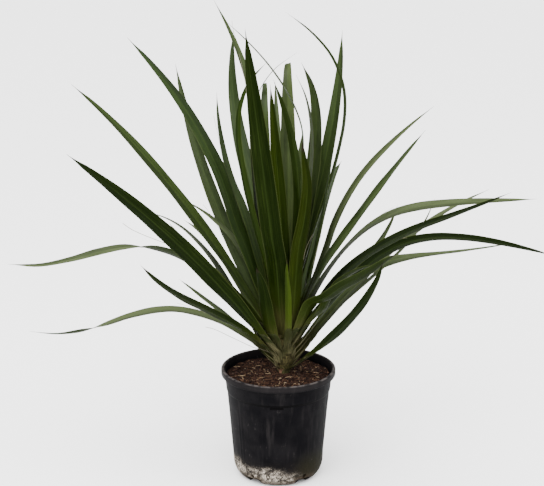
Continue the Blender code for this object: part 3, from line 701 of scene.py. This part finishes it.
class Blade:
    """One CAD leaf read back as rows from root to tip: midrib, both margins, and the way its face looks."""

    def __init__(self, name):
        self.name = name
        shell = bmesh.new()
        shell.from_mesh(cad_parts[name].data)
        bmesh.ops.remove_doubles(shell, verts=shell.verts, dist=0.02 * MM)
        tries = (self.sides(shell, math.radians(bend)) for bend in SHARP_BENDS)
        sides = next(sides for sides in tries if len(sides) == 6)
        ends, edges, faces = sides[:2], sides[2:4], sides[4:]
        root = min(ends, key=self.from_stem)
        self.rows(self.layers(root), faces, edges)
        shell.free()

    def sides(self, shell, bend):
        """The shell's faces in groups that meet at sharp edges: two ends, two thin edges, two broad faces."""
        left, groups = set(shell.faces), []
        while left:
            stack = [left.pop()]
            group = set(stack)
            while stack:
                face = stack.pop()
                near = {other for edge in face.edges for other in edge.link_faces if other in left}
                near = {other for other in near if other.normal.angle(face.normal, 0) < bend}
                left -= near
                group |= near
                stack += near
            groups.append(group)
        groups.sort(key=len)
        return [{vertex for face in group for vertex in face.verts} for group in groups]

    def from_stem(self, vertices):
        """How far a leaf's end lies from the stem's core."""
        middle = sum((vertex.co for vertex in vertices), Vector()) / len(vertices)
        return (middle - STEM_PLACE).xy.length + max(0, middle.z - STEM_PROFILE[0][1] * MM)

    def layers(self, root):
        """Rows of vertices from the root's end on, each the neighbours of the last."""
        rows, seen = [root], set(root)
        while rows[-1]:
            near = {edge.other_vert(vertex) for vertex in rows[-1] for edge in vertex.link_edges}
            rows.append(near - seen)
            seen |= near
        return rows[:-1]

    def rows(self, layers, faces, edges):
        """Midrib, margins and face directions of every row, as arrays."""
        rims = edges[0] | edges[1]
        middles = [[vertex for vertex in row if vertex not in rims] for row in layers]
        near = [next(vertex.co for vertex in row if vertex in faces[0]) for row in middles]
        far = [next(vertex.co for vertex in row if vertex not in faces[0]) for row in middles]
        self.midrib = np.array([(a + b) / 2 for a, b in zip(near, far)])
        up = np.array([(a - b).normalized() for a, b in zip(near, far)])
        margins = [
            np.array([sum((vertex.co for vertex in row if vertex in edge), Vector()) / 2 for row in layers])
            for edge in edges]
        if np.sum((margins[0] + margins[1] - 2 * self.midrib) * up) < 0:
            up = -up
        self.up = up
        ahead = np.gradient(self.midrib, axis=0)
        across = np.cross(up, ahead)
        first_is_left = np.sum((margins[1] - margins[0]) * across) > 0
        self.left, self.right = margins if first_is_left else margins[::-1]

    def metres(self):
        """Distance along the midrib of every row."""
        steps = np.linalg.norm(np.diff(self.midrib, axis=0), axis=1)
        return np.concatenate([[0], np.cumsum(steps)])

    def at(self, distances):
        """Midrib, left, right and upward direction at distances from the root, on smooth lines."""
        rows = np.concatenate([self.midrib, self.left, self.right, self.up], axis=1)
        fine = smooth_line(self.metres(), rows, distances)
        up = fine[:, 9:]
        return fine[:, :3], fine[:, 3:6], fine[:, 6:9], up / np.linalg.norm(up, axis=1, keepdims=True)


def smooth_line(stations, values, places):
    """Values between stations on cubic pieces with shared slopes."""
    slopes = np.gradient(values, stations, axis=0)
    k = np.clip(np.searchsorted(stations, places, side="right") - 1, 0, len(stations) - 2)
    span = (stations[k + 1] - stations[k])[:, None]
    t = ((places - stations[k]) / span[:, 0])[:, None]
    ends = (2 * t ** 3 - 3 * t ** 2 + 1) * values[k] + (3 * t ** 2 - 2 * t ** 3) * values[k + 1]
    return ends + span * ((t ** 3 - 2 * t ** 2 + t) * slopes[k] + (t ** 3 - t ** 2) * slopes[k + 1])


def leaf_sheet(blade, chance):
    """Points of a leaf's middle sheet by row and column, and half its thickness there."""
    stations = blade.metres()
    shares = np.linspace(0, 1, ROWS_PER_STEP * (len(stations) - 1) + 1) ** 1.15
    distances = shares * stations[-1]
    middle, left, right, up = blade.at(distances)
    x = np.linspace(-1, 1, COLUMNS + 1)
    point = np.clip((1 - shares) / POINT_SHARE, 0.12, 1)[:, None, None]
    margin = np.where(x[None, :, None] < 0, (left - middle)[:, None], (right - middle)[:, None]) * point
    rise = np.sum(margin * up[:, None], axis=2, keepdims=True) * up[:, None]
    reach = np.abs(x)[None, :, None]
    sheet = middle[:, None] + (margin - rise) * reach + rise * (0.4 * reach + 0.6 * reach ** 2)
    waves = [chance.uniform(*RUFFLE_WAVES) for _ in range(2)]
    starts = [chance.uniform(0, ANY_TURN) for _ in range(2)]
    swings = [np.sin(shares[:, None] * wave + start) for wave, start in zip(waves, starts)]
    width = np.linalg.norm(right - left, axis=1)[:, None]
    swing = np.where(x[None] < 0, *swings)
    ruffle = RUFFLE * width * swing * x[None] ** 2 * np.clip(shares[:, None] * 4, 0, 1)
    sheet = sheet + ruffle[:, :, None] * up[:, None]
    keel = np.exp(-(x[None] / KEEL_WIDTH) ** 2) * np.exp(-distances[:, None] / KEEL_LENGTH)
    half = HALF_THICKNESS - MARGIN_THINNING * x[None] ** 4 + KEEL_THICKNESS * keel
    return sheet, half * np.clip((1 - shares) / 0.1, 0.3, 1)[:, None], up, distances


def leaf_mesh(blade, chance, young, tones):
    """A closed leaf with its own lines for the finish: along, across, which face, and how old."""
    sheet, half, up, distances = leaf_sheet(blade, chance)
    rows, columns = half.shape
    upper = sheet + up[:, None] * half[..., None] * 0.8
    under = sheet - up[:, None] * half[..., None] * 1.2
    points = np.concatenate([upper.reshape(-1, 3), under.reshape(-1, 3)])
    count = rows * columns
    grid = np.arange(count).reshape(rows, columns)
    a, b, c, d = grid[:-1, :-1], grid[:-1, 1:], grid[1:, 1:], grid[1:, :-1]
    top = np.stack([a, b, c, d], axis=-1).reshape(-1, 4)
    bottom = np.stack([a, d, c, b], axis=-1).reshape(-1, 4) + count
    loop = np.concatenate([grid[0], grid[1:, -1], grid[-1, -2::-1], grid[-2:0:-1, 0]])
    after = np.roll(loop, -1)
    rim = np.stack([after, loop, loop + count, after + count], axis=-1)
    mesh = bpy.data.meshes.new(blade.name + "_blade")
    mesh.from_pydata(points.tolist(), [], np.concatenate([top, bottom, rim]).tolist())
    shell = bmesh.new()
    shell.from_mesh(mesh)
    bmesh.ops.recalc_face_normals(shell, faces=shell.faces)
    shell.to_mesh(mesh)
    shell.free()
    x = np.tile(np.linspace(-1, 1, columns), rows * 2)
    along = np.tile(np.repeat(distances, columns), 2)
    to_tip = np.tile(np.repeat(distances[-1] - distances, columns), 2)
    face = np.repeat([1.0, 0.0], count)
    values = {"across": x, "along": along, "to_tip": to_tip, "upper": face,
              "tone": np.full(2 * count, chance.uniform(*tones)), "young": np.full(2 * count, young),
              "dryness": np.full(2 * count, chance.random())}
    for label, numbers in values.items():
        mesh.attributes.new(label, "FLOAT", "POINT").data.foreach_set("value", numbers.astype(np.float32))
    return mesh


def leaf_finish():
    """Green on both faces, darker below partly by painted shade, with painted shade on one half of the fold,
    streaked along the veins, from a wan fibrous base to a dry brown tip.
    """
    leaf = Finish("leaf_green", Specular_IOR_Level=0.01, Coat_Roughness=0.36)
    across, along = leaf.attribute("across"), leaf.attribute("along")
    upper, tone, young = leaf.attribute("upper"), leaf.attribute("tone"), leaf.attribute("young")
    to_tip, dryness = leaf.attribute("to_tip"), leaf.attribute("dryness")
    strip = leaf.add("ShaderNodeCombineXYZ", {}, [across * 9, along * 9, tone * 37 + upper * 5])
    streaks = leaf.noise(strip, 1.6, 4, 0.6)
    veins = leaf.noise(leaf.add("ShaderNodeCombineXYZ", {}, [across * 60, along * 14, tone * 11]), 1.0, 2)
    patches = leaf.noise(leaf.add("ShaderNodeCombineXYZ", {}, [across * 1.5, along * 22, tone * 90]), 1.0, 3)
    # The underside's darker colour is partly the leaf's own and partly painted shade.
    below = leaf.mix(tone, (0.0014, 0.0040, 0.0001), (0.0090, 0.0150, 0.0022))
    above = leaf.mix(tone, (0.0070, 0.0165, 0.0025), (0.0440, 0.0560, 0.0230))
    colour = leaf.mix(upper, below, above)
    colour = leaf.mix(young * 0.3, colour, (0.018, 0.036, 0.003))
    colour = leaf.mix(leaf.step(dryness, 0.5, 1.0) * 0.18, colour, (0.026, 0.032, 0.002))
    colour = leaf.mix(leaf.step(young, 0.85, 1.0) * 0.3, colour, (0.040, 0.062, 0.004))
    colour = leaf.mix(leaf.step(streaks, 0.45, 0.75) * (0.25 + 0.2 * upper), colour, (0.036, 0.058, 0.009))
    colour = leaf.mix(leaf.step(patches, 0.5, 0.75) * 0.5, colour, (0.0030, 0.0070, 0.0005))
    colour = leaf.mix(leaf.step(veins, 0.5, 0.8) * 0.14, colour, (0.060, 0.085, 0.020))
    shaded_half = leaf.step(across * (dryness - 0.5), -0.05, 0.10) * (0.25 + 0.35 * patches)
    colour = leaf.mix(shaded_half, colour, (0.0016, 0.0042, 0.0002))
    off_rib = across.math("ABSOLUTE")
    rib = leaf.step(off_rib, 0.11, 0.02) * (0.11 + 0.05 * upper) * leaf.step(to_tip, 20 * MM, 140 * MM)
    colour = leaf.mix(rib, colour, (0.050, 0.080, 0.018))
    colour = leaf.mix(leaf.step(off_rib, 0.90, 0.99) * 0.25, colour, (0.070, 0.085, 0.022))
    wan = along + (streaks - 0.5) * (70 * MM)
    colour = leaf.mix(leaf.step(wan, 110 * MM, 40 * MM) * 0.25, colour, (0.036, 0.048, 0.007))
    colour = leaf.mix(leaf.step(wan, 62 * MM, 22 * MM) * 0.7, colour, (0.060, 0.060, 0.020))
    fibre = leaf.step(wan, 74 * MM, 34 * MM) * leaf.step(veins, 0.44, 0.58) * 0.75
    colour = leaf.mix(fibre, colour, (0.022, 0.019, 0.006))
    dry = leaf.step(to_tip - dryness * (18 * MM) + (streaks - 0.5) * (14 * MM), 7 * MM, 1 * MM)
    colour = leaf.mix(dry * 0.85, colour, (0.012, 0.009, 0.006))
    leaf.set("Base Color", colour)
    sheen = upper * (0.06 + 0.18 * streaks) + (1 - upper) * leaf.step(tone, 0.35, 0.9) * (0.16 * streaks)
    leaf.set("Coat Weight", sheen * leaf.step(along, 50 * MM, 130 * MM))
    leaf.set("Roughness", 0.42 + 0.14 * streaks + 0.25 * dry + 0.2 * leaf.step(along, 60 * MM, 10 * MM))
    leaf.relief(veins + 0.5 * streaks, 0.35 * MM, 0.55)
    return leaf.material


def youth(rank, blade):
    """From 0 for the lower leaves to 0.8 for the upper ones, and 1 for a short one in the heart."""
    off_stem = math.hypot(*(blade.midrib[-1] - STEM_PLACE)[:2])
    if blade.midrib[-1][2] < YOUNG_HEIGHT and off_stem < YOUNG_REACH:
        return 1.0
    return 0.8 * smooth((rank - LOWER_LEAVES) / (len(LEAF_NODES) - LOWER_LEAVES))


def tone_range(number):
    """The least and most that a leaf may be pale."""
    # Painted shade: leaves that stand in shade get the darkest tones.
    if number in SHADED_LEAVES:
        return 0.0, 0.2
    return (0.7, 1.0) if number in PALE_LEAVES else (0.2, 0.7)


BLADES = [Blade(name) for name in LEAF_NODES]
leaf_green = leaf_finish()
for rank, blade in enumerate(BLADES):
    mesh = leaf_mesh(blade, random.Random(LEAF_SEED + rank), youth(rank, blade), tone_range(rank + 1))
    piece(blade.name + "_blade", mesh, leaf_green, "leaf", blade.name)


# Sheaths
# The broad papery foot of each lower leaf, which clasps the stem and runs out under the blade. They
# overlap like scales, dry to straw near the soil and turn green where the blades begin.
SHEATH_SEED = 900
SHEATH_BELOW = 9 * MM
SHEATH_ABOVE = 52 * MM
SHEATH_THICKNESS = 0.45 * MM
SHEATH_ROWS = 14
SHEATH_COLUMNS = 10
FRAYED_FROM = 0.8


def sheath_points(blade, chance):
    """Rows of points of a clasping foot: from the stem's bark below the root to the blade's underside."""
    below = SHEATH_BELOW * chance.uniform(0.55, 1.1)
    above = SHEATH_ABOVE * chance.uniform(0.7, 1.15)
    runs = np.linspace(-below, above, SHEATH_ROWS)
    middle, left, right, up = blade.at(np.maximum(runs, 0))
    out = middle[-1] - np.array(STEM_PLACE)
    heading = math.atan2(out[1], out[0])
    rows = []
    for k, run in enumerate(runs):
        t = (k + 0.5) / SHEATH_ROWS
        height = blade.midrib[0][2] + run * (0.95 if run < 0 else 0.6)
        radius = core_radius(height) + (0.7 + 0.5 * t) * MM
        half_turn = min(1.25, (11.5 - 3.0 * t) * MM / max(radius, 4 * MM))
        leave = smooth(run / (16 * MM))
        frayed = max(0.0, t - FRAYED_FROM) / (1 - FRAYED_FROM)
        fray = math.sqrt(max(0.05, 1 - frayed ** 2))
        row = []
        for x in np.linspace(-1, 1, SHEATH_COLUMNS + 1):
            a = heading + x * half_turn * fray
            hug = np.array([STEM_PLACE.x + radius * math.cos(a), STEM_PLACE.y + radius * math.sin(a), height])
            margin = (right[k] if x > 0 else left[k]) - middle[k]
            free = middle[k] + margin * abs(x) * (1.45 - 0.4 * t) * fray - up[k] * (1.0 + 0.5 * (1 - t)) * MM
            ragged = chance.uniform(-0.5, 0.5) * MM * (t > 0.85)
            row.append(hug * (1 - leave) + free * leave + np.array([0, 0, ragged]))
        rows.append(row)
    return np.array(rows)


def sheaths():
    """All sheaths as one thin mesh."""
    shell = bmesh.new()
    layers = [shell.verts.layers.float.new(label) for label in ("run", "across", "tone")]
    for rank, blade in enumerate(BLADES[:LOWER_LEAVES]):
        chance = random.Random(SHEATH_SEED + rank)
        points = sheath_points(blade, chance)
        shade = chance.random()
        grid = [[shell.verts.new(point) for point in row] for row in points]
        for k, row in enumerate(grid):
            for m, vertex in enumerate(row):
                values = k / (SHEATH_ROWS - 1), 2 * m / SHEATH_COLUMNS - 1, shade
                for layer, value in zip(layers, values):
                    vertex[layer] = value
        for lower, upper in zip(grid, grid[1:]):
            for m in range(SHEATH_COLUMNS):
                shell.faces.new((lower[m], lower[m + 1], upper[m + 1], upper[m]))
    host = linked("host", meshed(shell, "leaf_sheaths"))
    wall = host.modifiers.new("wall", "SOLIDIFY")
    wall.thickness = SHEATH_THICKNESS
    wall.offset = 0
    result = settled(host)
    bpy.data.objects.remove(host)
    return result


def sheath_finish():
    """Papery straw turning green, with dark fibres, a brown foot and painted shade on the middle, where the
    blades above overhang it.
    """
    paper = Finish("sheath_paper", Specular_IOR_Level=0.08)
    run, across, tone = paper.attribute("run"), paper.attribute("across"), paper.attribute("tone")
    place = paper.place()
    ribs = paper.noise(paper.add("ShaderNodeCombineXYZ", {}, [across * 15, run * 1.6, tone * 40]), 1.0, 3)
    blotch = paper.noise(place, 160, 4, 0.6)
    greener = paper.step(run + (ribs - 0.5) * 0.7, 0.25, 0.75)
    colour = paper.mix(greener, (0.145, 0.132, 0.066), (0.010, 0.016, 0.002))
    colour = paper.mix(paper.step(ribs, 0.44, 0.56) * 0.85, colour, (0.014, 0.013, 0.004))
    colour = paper.mix(paper.step(blotch, 0.55, 0.7) * 0.35, colour, (0.17, 0.145, 0.075))
    colour = paper.mix(paper.step(run, 0.16, 0.0) * 0.4, colour, (0.080, 0.042, 0.024))
    side = paper.add("ShaderNodeSeparateXYZ", {}, [place])
    # Painted shade on a band round the middle as seen from the front, where the leaves above overhang the
    # sheaths.
    overhung_middle_shade = paper.step((side - 12 * MM).math("ABSOLUTE"), 17 * MM, 7 * MM)
    colour = paper.mix(overhung_middle_shade * 0.7, colour, (0.013, 0.015, 0.003))
    paper.set("Base Color", colour)
    paper.set("Roughness", 0.62 + 0.2 * ribs)
    paper.relief(ribs, 0.9 * MM, 0.9)
    return paper.material


piece("leaf_sheaths", sheaths(), sheath_finish(), "stem")


# Threads
# Thin fibres that split from the margins of long leaves and curl in the air, each still held at its root,
# and two dead strands on the left, from the foot of the stem and under a low leaf. Their places are in
# millimetres.
THREADS = 16
THREAD_SEED = 77
THREAD_POINTS = 14
THREAD_RADIUS = 0.2 * MM
STRAND_POINTS = 40
STRAND_RADIUS = 0.4 * MM
STRANDS = (
    ((0, 2, 182), (-24, -8, 196), (-37, -15, 202), (-67, -24, 220), (-92, -28, 234), (-106, -28, 238)),
    ((-146, -94, 378), (-160, -100, 386), (-185, -103, 397), (-202, -102, 405), (-214, -100, 413)),
)


def thread_lines():
    """Lines that leave a margin gently, bow outward and sink."""
    lines = []
    chance = random.Random(THREAD_SEED)
    long_blades = [blade for blade in BLADES[:40] if blade.metres()[-1] > 250 * MM]
    for _ in range(THREADS):
        blade = chance.choice(long_blades)
        stations = blade.metres()
        begin = stations[-1] * chance.uniform(0.38, 0.85)
        length = chance.uniform(22, 60) * MM
        distances = np.linspace(begin, min(begin + length, stations[-1]), THREAD_POINTS)
        middle, left, right, _ = blade.at(distances)
        margin = right if chance.random() < 0.5 else left
        outward = (margin - middle) / np.linalg.norm(margin - middle, axis=1, keepdims=True)
        t = np.linspace(0, 1, THREAD_POINTS)[:, None]
        bow = chance.uniform(4, 11) * MM
        line = margin + outward * (bow * t ** 2 + 0.2 * MM)
        line[:, 2] -= chance.uniform(-3, 9) * MM * t[:, 0] ** 2.5
        lines.append(line)
    return lines


def strand_line(places):
    """A smooth line through the places of a dead strand."""
    steps = np.arange(len(places))
    return smooth_line(steps, np.array(places, float), np.linspace(0, steps[-1], STRAND_POINTS)) * MM


def thread_mesh(lines, radius, material):
    """The lines as thin tubes."""
    points, edges = [], []
    for line in lines:
        edges += [(len(points) + m, len(points) + m + 1) for m in range(len(line) - 1)]
        points += line.tolist()
    host = bpy.data.meshes.new("lines")
    host.from_pydata(points, edges, [])
    growth = Growth("threads", Radius=radius)
    curve = growth.add("GeometryNodeMeshToCurve", {}, {"Mesh": growth.start.outputs["Geometry"]})
    growth.close(growth.tube(curve, sides=5, radius=growth.size("Radius")), material)
    return growth.mesh(host)


def thread_finish():
    """Dry grey-brown fibre."""
    fibre = Finish("thread_fibre", Roughness=0.7, Specular_IOR_Level=0.3)
    wear = fibre.noise(fibre.place(), 60, 3)
    fibre.set("Base Color", fibre.mix(wear, (0.06, 0.055, 0.035), (0.17, 0.15, 0.10)))
    return fibre.material


thread_grey = thread_finish()
threads = thread_mesh(thread_lines(), THREAD_RADIUS, thread_grey)
piece("leaf_threads", threads, thread_grey, "leaf")
strands = thread_mesh([strand_line(places) for places in STRANDS], STRAND_RADIUS, thread_grey)
piece("dead_strands", strands, thread_grey, "leaf")


# Floor, light and camera
# A white floor and sky, an even light from above, a broad one in front and a weaker one from the side.
# The camera of the photograph stands 1.97 m in front of the plant and looks down on it.
MIDDLE = (0, 0, 0.35)
CAMERA_PLACE = (-0.0094, -1.9644, 0.9083)
CAMERA_PITCH = 15.68
FOCAL_PIXELS = 1408
PHOTO_PIXELS = 544
SENSOR_WIDTH = 36


def plain_floor():
    """A pale matt floor."""
    finish = Finish("floor_white", Roughness=0.9, Specular_IOR_Level=0.1)
    finish.shader.inputs["Base Color"].default_value = (0.90, 0.90, 0.90, 1)
    bpy.ops.mesh.primitive_plane_add(size=14, location=(0, 3, -0.0005))
    floor = bpy.context.object
    floor.name = "floor"
    floor.data.materials.append(finish.material)
    return floor


def soft_light(name, place, size, power):
    """A square area light that looks at the plant's middle."""
    lamp = bpy.data.lights.new(name, "AREA")
    lamp.shape = "SQUARE"
    lamp.size = size
    lamp.energy = power
    thing = linked(name, lamp)
    thing.location = place
    thing.rotation_euler = (Vector(MIDDLE) - Vector(place)).to_track_quat("-Z", "Y").to_euler()


def overhead_light():
    """An even light from above, as wide as a studio's ceiling."""
    lamp = bpy.data.lights.new("overhead_light", "SUN")
    lamp.energy = 8
    lamp.angle = math.radians(100)
    linked("overhead_light", lamp).rotation_euler = (math.radians(18), math.radians(-12), 0)


def photograph_camera():
    """The camera that took the photograph."""
    lens = bpy.data.cameras.new("camera")
    lens.sensor_width = SENSOR_WIDTH
    lens.lens = SENSOR_WIDTH * FOCAL_PIXELS / PHOTO_PIXELS
    camera = linked("camera", lens)
    camera.location = CAMERA_PLACE
    camera.rotation_euler = (math.radians(90 - CAMERA_PITCH), 0, 0)
    bpy.context.scene.camera = camera


def white_sky():
    """Even light from all round."""
    sky = bpy.data.worlds.new("white_sky")
    sky.use_nodes = True
    background = sky.node_tree.nodes["Background"]
    background.inputs["Color"].default_value = (1, 1, 1, 1)
    background.inputs["Strength"].default_value = 1.5
    bpy.context.scene.world = sky


plain_floor()
white_sky()
soft_light("key_light", (-0.7, -1.5, 2.3), size=1.6, power=60)
soft_light("side_light", (1.9, -0.5, 1.5), size=1.2, power=25)
overhead_light()
photograph_camera()
